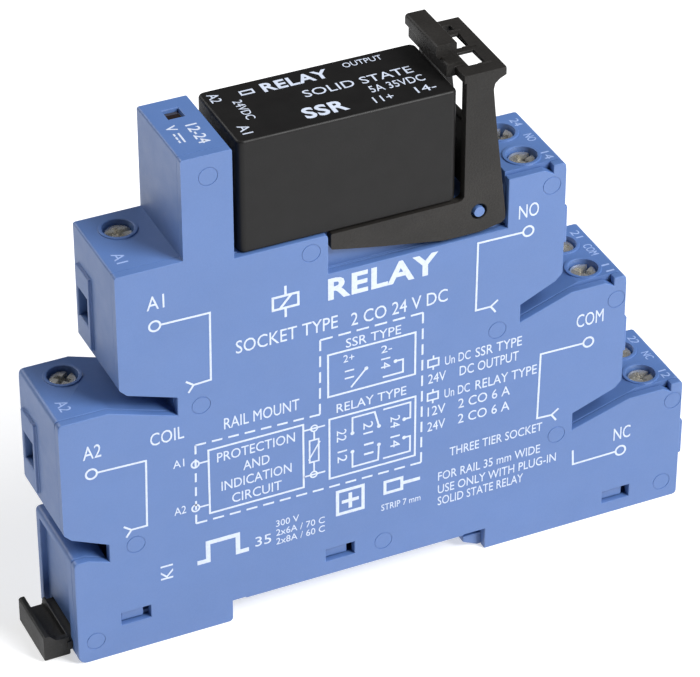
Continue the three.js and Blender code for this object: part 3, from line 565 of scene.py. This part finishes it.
class Print:
    """Flat marks in a plane, in mm, made into thin closed slabs of ink on one piece."""

    def __init__(self, origin, right, up, lift=0.006, thick=0.016):
        self.right, self.up = Vector(right), Vector(up)
        self.out = self.right.cross(self.up)
        self.origin = Vector(origin)
        self.lift, self.thick = lift, thick
        self.strokes, self.step = 0, 0.0
        self.bm = bmesh.new()

    def point(self, u, v, w):
        out = w + math.copysign(self.step, w)
        return (self.origin + self.right * u + self.up * v + self.out * out) * MM

    def next_stroke(self):
        """Crossing strokes lie at slightly different heights, so that no two faces coincide."""
        self.strokes += 1
        self.step = STROKE_STEP * (self.strokes % 6)

    def slab(self, outline):
        self.next_stroke()
        low = [self.bm.verts.new(self.point(u, v, -self.lift)) for u, v in outline]
        high = [self.bm.verts.new(self.point(u, v, self.thick)) for u, v in outline]
        self.bm.faces.new(high)
        self.bm.faces.new(low[::-1])
        for k in range(len(outline)):
            n = (k + 1) % len(outline)
            self.bm.faces.new((low[k], low[n], high[n], high[k]))

    def line(self, points, width=0.28, closed=False):
        """A mitred line through the points."""
        count = len(points)
        sides = []
        for k, point in enumerate(points):
            before = points[k - 1] if k or closed else None
            after = points[(k + 1) % count] if k < count - 1 or closed else None
            here = Vector(point)
            d1 = (here - Vector(before)).normalized() if before else None
            d2 = (Vector(after) - here).normalized() if after else None
            d1, d2 = d1 or d2, d2 or d1
            n1, n2 = Vector((-d1.y, d1.x)), Vector((-d2.y, d2.x))
            mitre = (n1 + n2).normalized()
            reach = width / 2 / max(0.35, mitre.dot(n1))
            sides.append((here + mitre * reach, here - mitre * reach))
        if not closed:
            self.slab([right for left, right in sides] + [left for left, right in reversed(sides)])
            return
        self.next_stroke()
        rings = [[[self.bm.verts.new(self.point(p.x, p.y, w)) for p in ends] for ends in sides]
                 for w in (-self.lift, self.thick)]
        for k in range(count):
            n = (k + 1) % count
            (l0, r0), (l1, r1) = rings[0][k], rings[0][n]
            (tl0, tr0), (tl1, tr1) = rings[1][k], rings[1][n]
            for quad in ((tr0, tr1, tl1, tl0), (l0, l1, r1, r0), (r0, r1, tr1, tr0), (tl0, tl1, l1, l0)):
                self.bm.faces.new(quad)

    def ring(self, u, v, radius, width=0.26, steps=28):
        turn = [2 * math.pi * k / steps for k in range(steps)]
        self.line([(u + radius * math.cos(t), v + radius * math.sin(t)) for t in turn], width, True)

    def dashes(self, points, dash=1.5, gap=0.8, width=0.26):
        for a, b in zip(points, points[1:]):
            a, b = Vector(a), Vector(b)
            length = (b - a).length
            count = max(1, round((length + gap) / (dash + gap)))
            step = (length + gap) / count
            for k in range(count):
                start, end = k * step, k * step + step - gap
                self.line([tuple(a.lerp(b, start / length)), tuple(a.lerp(b, end / length))], width)

    def text(self, words, u, v, cap=2.0, width=None, weight=0.0, spin=0, gap=1.0):
        """Words with their letters' height and, if given, the whole width; u, v is the middle."""
        curve = bpy.data.curves.new("words", "FONT")
        curve.body = words
        curve.resolution_u = 3
        curve.offset = weight
        curve.space_character = gap
        holder = bpy.data.objects.new("words", curve)
        bpy.context.scene.collection.objects.link(holder)
        bpy.context.view_layer.update()
        mesh = bpy.data.meshes.new_from_object(holder.evaluated_get(bpy.context.evaluated_depsgraph_get()))
        bpy.data.objects.remove(holder)
        xs = [p.co.x for p in mesh.vertices]
        left, right = min(xs), max(xs)
        tall = cap / CAP_HEIGHT
        wide = width / (right - left) if width else tall
        shift = (left + right) / 2
        turn = Matrix.Rotation(math.radians(spin), 2)
        flat = bmesh.new()
        flat.from_mesh(mesh)
        bpy.data.meshes.remove(mesh)
        bmesh.ops.remove_doubles(flat, verts=flat.verts, dist=1e-5)
        bmesh.ops.dissolve_limit(flat, angle_limit=math.radians(0.5), verts=flat.verts, edges=flat.edges)
        self.next_stroke()
        low, high = {}, {}
        for p in flat.verts:
            at = turn @ Vector(((p.co.x - shift) * wide, (p.co.y - CAP_HEIGHT / 2) * tall))
            low[p] = self.bm.verts.new(self.point(u + at.x, v + at.y, -self.lift))
            high[p] = self.bm.verts.new(self.point(u + at.x, v + at.y, self.thick))
        for face in flat.faces:
            corners = list(face.verts)
            if face.normal.z < 0:
                corners.reverse()
            self.bm.faces.new([high[p] for p in corners])
            self.bm.faces.new([low[p] for p in reversed(corners)])
        for edge in flat.edges:
            if len(edge.link_faces) == 1:
                a, b = edge.verts
                self.bm.faces.new((low[a], low[b], high[b], high[a]))
        flat.free()

    def done(self, name, body, slot, material=INK):
        bmesh.ops.recalc_face_normals(self.bm, faces=self.bm.faces)
        return new_piece(name, self.bm, material, body)


# ------------------------------------------------------------------ housing
housing = rounded("housing_body", "housing_shell", BLUE, 0.22 * MM, concave=0.10 * MM)
cover = rounded("side_cover", "cover_shell", BLUE, 0.20 * MM, concave=0.08 * MM)
relay = rounded("relay_case", "relay_cover", RELAY, 0.22 * MM)
lever = rounded("retaining_lever", "lever_frame", LEVER, 0.20 * MM, concave=0.12 * MM, seen_only=False)
clip = rounded("rail_clip", "clip_slider", CLIP, 0.22 * MM, concave=0.10 * MM, seen_only=False)
TOWER_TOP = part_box("side_cover")[1].z / MM
EJECTORS = ((-20.0, 64.9), (-6.75, 50.4), (-21.7, 32.15), (-31.0, 13.55), (19.0, 31.6), (36.1, 31.5),
            (28.1, 12.4), (44.4, -0.4), (26.1, 51.4), (45.4, 12.7), (3.2, 3.0), (-36.9, 0.0))


def ejector_marks(piece, face_y, into, radius=1.3, width=0.15, depth=0.06):
    """Shallow round grooves that the mould's ejector pins leave."""
    bm = bmesh.new()
    steps = 32
    for x, z in EJECTORS:
        rings = []
        for r, y in ((radius, face_y - into * 0.3), (radius - width, face_y - into * 0.3),
                     (radius - width, face_y + into * depth), (radius, face_y + into * depth)):
            rings.append([bm.verts.new(((x + r * math.cos(2 * math.pi * k / steps)) * MM, y * MM,
                                        (z + r * math.sin(2 * math.pi * k / steps)) * MM))
                          for k in range(steps)])
        for a, b in zip(rings, rings[1:] + rings[:1]):
            for k in range(steps):
                n = (k + 1) % steps
                bm.faces.new((a[k], a[n], b[n], b[k]))
    cut_away(piece, bm)


ejector_marks(cover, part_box("side_cover")[0].y / MM, 1)
ejector_marks(housing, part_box("housing_body")[1].y / MM, -1)
for piece in (housing, cover, relay, lever, clip):
    smooth(piece)

for terminal in TERMINALS:
    cage = rounded("clamp_cage_" + terminal, "cage_" + terminal, CAGE, 0.14 * MM, seen_only=False)
    smooth(cage)


# ------------------------------------------------------------------ terminal screws
HEAD_RADIUS, HEAD_HEIGHT, SLOT_DEPTH = 1.75, 2.0, 1.2
SCREW_DEPTH = 0.45      # from the step's top down to the screw's
SHAFT_RADIUS, THREAD_DEPTH, THREAD_PITCH = 1.25, 0.22, 0.5
RUN_IN, RUN_OUT, TIP_CHAMFER = 0.5, 0.4, 0.1
# The head's outline: heights above its underside, then depths below its top, each with a radius.
HEAD_FOOT = ((0.0, 1.45), (0.1, 1.66), (0.28, HEAD_RADIUS))
HEAD_CROWN = ((0.24, HEAD_RADIUS), (0.11, 1.73), (0.03, 1.66), (0.0, 1.55), (0.0, 1.15), (0.0, 0.6))
# The slot and the cross: how far each reaches from the middle, and half its width at top and tip.
BLADES = ((HEAD_RADIUS + 1, 0.31, 0.29), (1.2, 0.34, 0.18))


def screw(terminal, turned):
    """Cheese-head screw with a combined slot and cross and a real helical thread."""
    node = "terminal_screw_" + terminal
    low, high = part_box(node)
    x, y = (low.x + high.x) / 2 / MM, (low.y + high.y) / 2 / MM
    bottom, top = low.z / MM, high.z / MM
    under_head = top - HEAD_HEIGHT
    steps = 24
    bm = bmesh.new()
    rings = []

    def ring(z, radius):
        points = []
        for k in range(steps):
            r = radius(k / steps, z) if callable(radius) else radius
            turn = 2 * math.pi * k / steps
            place = (x + r * math.cos(turn), y + r * math.sin(turn), z)
            points.append(bm.verts.new([v * MM for v in place]))
        rings.append(points)

    def thread(turn, z):
        phase = (z / THREAD_PITCH - turn) % 1
        ridge = 1 - abs(2 * phase - 1)
        fade = min(1, (z - bottom) / RUN_IN, (under_head - z) / RUN_OUT)
        return SHAFT_RADIUS - THREAD_DEPTH * (1 - ridge * max(0, fade))

    ring(bottom, SHAFT_RADIUS - THREAD_DEPTH - 0.12)
    count = round((under_head - bottom) / (THREAD_PITCH / 6))
    for k in range(count + 1):
        ring(bottom + TIP_CHAMFER + (under_head - bottom - TIP_CHAMFER) * k / count, thread)
    for above, r in HEAD_FOOT:
        ring(under_head + above, r)
    for below, r in HEAD_CROWN:
        ring(top - below, r)
    bm.faces.new(rings[0][::-1])
    bm.faces.new(rings[-1])
    for a, b in zip(rings, rings[1:]):
        for k in range(steps):
            n = (k + 1) % steps
            bm.faces.new((a[k], a[n], b[n], b[k]))
    piece = new_piece("screw_" + terminal, bm, SCREW, BODY_OF[node])
    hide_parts(node)
    blades = bmesh.new()
    for reach, half, tip in BLADES:
        along = len(blades.verts) == 0
        low_reach = reach if along else reach * 0.7
        corners = []
        for z, h, r in ((top - SLOT_DEPTH, tip, low_reach), (top + 0.3, half + 0.04, reach)):
            for sx, sy in ((-1, -1), (1, -1), (1, 1), (-1, 1)):
                a, b = (sx * r, sy * h) if along else (sx * h, sy * r)
                dx = a * math.cos(turned) - b * math.sin(turned)
                dy = a * math.sin(turned) + b * math.cos(turned)
                corners.append(blades.verts.new(((x + dx) * MM, (y + dy) * MM, z * MM)))
        blades.faces.new(corners[3::-1])
        blades.faces.new(corners[4:])
        for k in range(4):
            n = (k + 1) % 4
            blades.faces.new((corners[k], corners[n], corners[4 + n], corners[4 + k]))
    cut_away(piece, blades)
    smooth(piece, 38, False)
    return piece


for terminal, turned in zip(TERMINALS, (12, 58, 33, 77, 21, 49, 40, 4)):
    screw(terminal, math.radians(turned))


# ------------------------------------------------------------------ carried-over CAD nodes
for name, material in FINISH.items():
    finish(NODES[name], material)


# ------------------------------------------------------------------ print on the near side
side = Print((0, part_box("side_cover")[0].y / MM, 0), (1, 0, 0), (0, 0, 1))


TERMINAL_RING = 0.72


def terminal_mark(words, wide, text_at, ring_at, corner, end, fork, tine):
    """A terminal's name, its circle and the line that runs to its fork."""
    side.text(words, *text_at, 2.0, wide)
    side.ring(*ring_at, TERMINAL_RING)
    toward = TERMINAL_RING if corner[0] > ring_at[0] else -TERMINAL_RING
    side.line([(ring_at[0] + toward, ring_at[1]), corner, end] + ([fork] if fork else []), 0.26)
    if fork:
        x, z = fork
        side.line([(x - tine * 1.1, z + 0.75), (x - tine * 0.1, z), (x - tine * 0.8, z - 1.0)], 0.26)


terminal_mark("A1", 2.3, (-27.2, 49.0), (-27.4, 45.6), (-20.2, 45.5), (-20.3, 35.6), (-22.5, 35.5), 1)
terminal_mark("A2", 2.4, (-36.2, 29.5), (-36.4, 26.2), (-29.2, 26.0), (-29.4, 16.0), (-31.4, 16.0), 1)
terminal_mark("NO", 2.8, (23.0, 48.6), (23.0, 45.5), (16.0, 45.6), (15.9, 35.5), (17.9, 35.5), -1)
terminal_mark("COM", 3.9, (32.4, 29.6), (32.3, 25.9), (25.4, 26.0), (25.2, 15.9), (27.2, 15.8), -1)
terminal_mark("NC", 2.5, (38.0, 9.7), (37.9, 6.8), (30.8, 6.7), (30.7, 9.0), None, 0)
side.text("COIL", -26.3, 28.9, 1.9, 4.5)

side.text("RELAY", 3.0, 44.4, 3.0, 15.0, weight=0.028, gap=1.08)
side.line([(-11.9, 43.4), (-8.5, 43.4), (-8.5, 45.2), (-11.9, 45.2)], 0.32, True)
side.line([(-11.0, 43.4), (-9.4, 45.2)], 0.32)
side.line([(-10.2, 45.2), (-10.2, 46.6)], 0.32)
side.line([(-10.2, 43.4), (-10.2, 42.0)], 0.32)
side.text("SOCKET TYPE", -10.05, 39.4, 1.9, 13.7)
side.text("2 CO 24 V DC", 5.25, 39.1, 1.9, 13.3)

side.dashes([(-22.6, 26.3), (-5.7, 25.9), (-5.6, 37.2), (8.5, 37.3), (8.5, 14.0), (-22.8, 14.2),
             (-22.6, 26.3)])
side.ring(-22.7, 23.4, 0.5, 0.22)
side.ring(-22.8, 16.6, 0.5, 0.22)
side.text("A1", -24.9, 24.2, 1.2, 1.5)
side.text("A2", -24.9, 16.9, 1.2, 1.6)
side.line([(-22.2, 23.4), (-20.9, 23.4)], 0.22)
side.line([(-22.3, 16.6), (-20.9, 16.6)], 0.22)
side.line([(-20.9, 15.2), (-8.0, 15.2), (-8.0, 25.0), (-20.9, 25.0)], 0.26, True)
CIRCUIT_WORDS = (("PROTECTION", 10.6), ("AND", 3.6), ("INDICATION", 9.6), ("CIRCUIT", 6.8))
for row, (words, wide) in enumerate(CIRCUIT_WORDS):
    side.text(words, -14.45, 23.5 - row * 2.3, 1.45, wide)
side.line([(-8.0, 24.0), (-5.0, 24.0)], 0.22)
side.line([(-8.0, 16.8), (-5.0, 16.8)], 0.22)
side.ring(-6.5, 24.0, 0.45, 0.2)
side.ring(-6.6, 16.8, 0.45, 0.2)
side.line([(-6.5, 23.5), (-6.5, 22.2)], 0.22)
side.line([(-6.55, 17.3), (-6.55, 18.8)], 0.22)
side.line([(-7.15, 18.8), (-5.9, 18.8), (-5.9, 22.2), (-7.15, 22.2)], 0.22, True)
side.line([(-7.3, 19.2), (-5.7, 21.8)], 0.2)

side.text("SSR TYPE", 1.7, 35.7, 1.35, 7.6)
side.line([(-4.55, 28.2), (7.5, 28.2), (7.5, 34.6), (-4.55, 34.6)], 0.26, True)
side.text("2+", -1.7, 33.4, 1.1, 1.5)
side.text("2-", 3.5, 33.3, 1.1, 1.5)
side.text("11", -1.6, 30.9, 1.3, 1.3, spin=-90)
side.text("14", 3.4, 31.1, 1.3, 1.6, spin=-90)
side.line([(-1.4, 28.8), (0.6, 31.0)], 0.24)
side.line([(3.0, 29.05), (5.8, 29.05), (5.8, 31.0), (4.8, 31.0)], 0.24)
side.ring(0.7, 31.1, 0.14, 0.26, 10)
side.ring(4.75, 31.0, 0.14, 0.26, 10)
side.text("RELAY TYPE", 1.45, 26.1, 1.35, 9.7)
side.line([(-4.4, 15.4), (7.6, 15.4), (7.6, 24.7), (-4.4, 24.7)], 0.26, True)
for middle, out in ((20.15, 1), (20.15, -1)):
    level, tip = middle + out * 3.85, middle + out * 1.45
    side.line([(-1.2, tip), (-1.2, level), (1.9 if out > 0 else 2.4, level), (2.5, tip)], 0.24)
    side.line([(3.1, level), (6.9, level), (6.9, tip), (6.1, tip)], 0.24)
    for x in (-1.2, 2.5, 6.05):
        side.ring(x, tip, 0.14, 0.26, 10)
for words, x, z in (("22", -2.7, 21.7), ("21", 1.0, 21.8), ("24", 4.8, 21.6),
                    ("12", -2.6, 18.4), ("11", 1.1, 18.5), ("14", 4.8, 18.5)):
    side.text(words, x, z, 1.35, 1.8, spin=-90)


def coil_box(x, z):
    """A small coil symbol: a box with a lead above and below."""
    side.line([(x, z - 0.55), (x + 1.5, z - 0.55), (x + 1.5, z + 0.55), (x, z + 0.55)], 0.22, True)
    side.line([(x + 0.75, z + 0.55), (x + 0.75, z + 1.1)], 0.22)
    side.line([(x + 0.75, z - 0.55), (x + 0.75, z - 1.1)], 0.22)


coil_box(9.3, 29.2)
side.text("Un DC", 13.5, 29.0, 1.35, 3.6)
side.text("SSR TYPE", 19.3, 29.0, 1.45, 6.6)
side.text("24V", 10.6, 26.8, 1.45, 2.5)
side.text("DC OUTPUT", 18.0, 26.8, 1.45, 8.4)
coil_box(9.3, 24.0)
side.text("Un DC", 13.5, 23.9, 1.35, 3.6)
side.text("RELAY TYPE", 20.5, 23.9, 1.45, 8.8)
side.text("12V", 10.6, 21.7, 1.45, 2.5)
side.text("2 CO 6 A", 17.4, 21.7, 1.45, 7.4)
side.text("24V", 10.6, 19.3, 1.45, 2.5)
side.text("2 CO 6 A", 17.4, 19.3, 1.45, 7.4)

side.text("THREE TIER SOCKET", 19.3, 14.4, 1.35, 13.4)
side.text("FOR RAIL 35 mm WIDE", 18.4, 10.9, 1.35, 14.8)
side.text("USE ONLY WITH PLUG-IN", 19.6, 8.8, 1.35, 17.2)
side.text("SOLID STATE RELAY", 17.2, 6.9, 1.35, 12.4)
side.line([(-3.3, 9.3), (0.3, 9.3), (0.3, 12.9), (-3.3, 12.9)], 0.45, True)
side.line([(-2.7, 11.1), (-0.3, 11.1)], 0.5)
side.line([(-1.5, 9.9), (-1.5, 12.3)], 0.5)
side.line([(3.4, 10.6), (5.8, 10.6), (5.8, 12.4), (3.4, 12.4)], 0.42, True)
side.line([(5.8, 11.5), (8.4, 11.5)], 0.5)
side.text("STRIP 7 mm", 5.7, 8.4, 1.0, 5.6)
side.line([(-22.8, 7.8), (-21.3, 7.8), (-21.3, 10.6), (-17.2, 10.6), (-17.2, 7.8), (-15.7, 7.8)], 0.62)
side.text("35", -13.7, 8.6, 1.5, 2.2)
side.text("300 V", -10.3, 10.6, 1.0, 3.2)
side.text("2x6A / 70 C", -8.5, 9.15, 1.0, 6.8)
side.text("2x8A / 60 C", -8.5, 7.75, 1.0, 6.8)
side.text("K1", -27.0, 7.8, 1.7, 2.2, spin=90)
side.text("RAIL MOUNT", -13.6, 28.4, 1.7, 10.2)
side_print = side.done("side_print", "socket", "housing_blue")


# ------------------------------------------------------------------ print on the tops
def top_print(z):
    return Print((0, 0, z), (1, 0, 0), (0, 1, 0))


STEP_PRINT_OUT, STEP_PRINT_ROWS = 2.95, (4.3, 0.35, -4.3)
for name, terminal, rows in (("no", "24", ("24", "NO", "14")), ("com", "21", ("21", "COM", "11")),
                             ("nc", "22", ("22", "NC", "12"))):
    low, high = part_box("terminal_screw_" + terminal)
    top = top_print(high.z / MM + SCREW_DEPTH)
    x = (low.x + high.x) / 2 / MM + STEP_PRINT_OUT
    for words, y in zip(rows, STEP_PRINT_ROWS):
        top.text(words, x, y, 1.2, 2.6 if words == "COM" else 1.7, spin=-90)
    top.done("step_print_" + name, "socket", "housing_blue", FAINT_INK)
for terminal in ("A2", "A1"):
    low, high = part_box("terminal_screw_" + terminal)
    top = top_print(high.z / MM + SCREW_DEPTH)
    top.text(terminal, (low.x + high.x) / 2 / MM - 2.2, -3.0, 1.5, 2.2, spin=-90)
    top.done("step_print_" + terminal, "socket", "housing_blue", FAINT_INK)

tower = top_print(TOWER_TOP)
tower.text("12-24", -19.1, -1.9, 1.45, 4.6, weight=0.012, spin=-90)
tower.text("V", -21.6, 0.4, 1.3, 1.2, weight=0.012, spin=-90)
tower.line([(-21.25, -0.9), (-21.25, -3.1)], 0.24)
for y in (-0.9, -1.7, -2.5):
    tower.line([(-21.85, y), (-21.85, y - 0.55)], 0.24)
tower.done("tower_print", "socket", "housing_blue")

relay_top = top_print(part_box("relay_case")[1].z / MM)
relay_top.text("A2", -14.4, 4.2, 1.4, 2.0, spin=-90)
relay_top.text("A1", -13.9, -3.9, 1.4, 2.0, spin=-90)
relay_top.text("24VDC", -12.2, 0.3, 1.2, 4.6, spin=-90)
relay_top.line([(-11.1, 3.5), (-9.5, 3.5), (-9.5, 4.3), (-11.1, 4.3)], 0.24, True)
relay_top.text("RELAY", -3.9, 4.0, 1.9, 8.8, weight=0.028, gap=1.08)
relay_top.text("OUTPUT", 5.4, 4.75, 1.1, 5.2)
relay_top.text("SOLID STATE", 2.9, 0.6, 1.6, 14.4)
relay_top.text("5A 35VDC", 7.0, -1.75, 1.5, 7.2)
relay_top.text("SSR", -3.4, -3.6, 2.3, 5.6, weight=0.03, gap=1.08)
relay_top.text("11+", 4.1, -4.2, 1.4, 2.6)
relay_top.text("14-", 9.7, -4.2, 1.4, 2.6)
relay_top.done("relay_print", "relay", "relay_black")


# ------------------------------------------------------------------ stage, light and camera
def floor(z):
    """A pale flat sheet under the object."""
    bm = bmesh.new()
    size, cells = 6.0, 8
    bmesh.ops.create_grid(bm, x_segments=cells, y_segments=cells, size=size / 2)
    for v in bm.verts:
        v.co.z = z
    mesh = bpy.data.meshes.new("floor")
    bm.to_mesh(mesh)
    bm.free()
    sheet = bpy.data.objects.new("floor", mesh)
    bpy.context.scene.collection.objects.link(sheet)
    s = Shader("floor_paper")
    s.link(s.ramp(s.noise(6, 3), [(0.3, (0.60, 0.602, 0.605, 1)), (0.7, (0.62, 0.621, 0.623, 1))]),
           s.bsdf.inputs["Base Color"])
    s.put(Roughness=0.75, Specular_IOR_Level=0.25, Emission_Color=(1.0, 1.0, 1.0, 1), Emission_Strength=0.55)
    finish(sheet, s.material)


floor(CAD_BOX[0][2])


def area_light(name, place, target, size, power, colour=(1, 1, 1)):
    data = bpy.data.lights.new(name, "AREA")
    data.shape = "RECTANGLE"
    data.size, data.size_y = size
    data.energy = power
    data.color = colour
    lamp = bpy.data.objects.new(name, data)
    lamp.location = place
    lamp.rotation_euler = (Vector(place) - Vector(target)).to_track_quat("Z", "Y").to_euler()
    bpy.context.scene.collection.objects.link(lamp)


MIDDLE = (0.003, 0, 0.03)
area_light("key", (0.42, -0.52, 0.50), MIDDLE, (0.34, 0.30), 7.2)
area_light("top", (0.26, -0.30, 0.72), MIDDLE, (0.30, 0.24), 3.0)
area_light("back", (-0.34, 0.50, 0.55), (-0.12, 0.30, 0), (0.4, 0.4), 3.0)

world = bpy.data.worlds.new("studio")
bpy.context.scene.world = world
world.use_nodes = True
world.node_tree.nodes["Background"].inputs["Color"].default_value = (0.95, 0.97, 1.0, 1)
world.node_tree.nodes["Background"].inputs["Strength"].default_value = 0.12

CAMERA_PLACE, CAMERA_TURN, CAMERA_TILT, FOCAL_LENGTH = (-0.15657, -0.34309, 0.29336), -24.75, 34.77, 186.79
azimuth, elevation = math.radians(CAMERA_TURN), math.radians(CAMERA_TILT)
right = Vector((math.cos(azimuth), math.sin(azimuth), 0))
back = Vector((math.sin(azimuth) * math.cos(elevation), -math.cos(azimuth) * math.cos(elevation),
               math.sin(elevation)))
lens = bpy.data.cameras.new("camera")
lens.sensor_width = 36
lens.lens = FOCAL_LENGTH
lens.clip_start, lens.clip_end = 0.02, 20
camera = bpy.data.objects.new("camera", lens)
camera.matrix_world = Matrix.Translation(CAMERA_PLACE) @ Matrix(
    (right, back.cross(right), back)).transposed().to_4x4()
bpy.context.scene.collection.objects.link(camera)
bpy.context.scene.camera = camera
bpy.context.scene.view_settings.view_transform = "Standard"
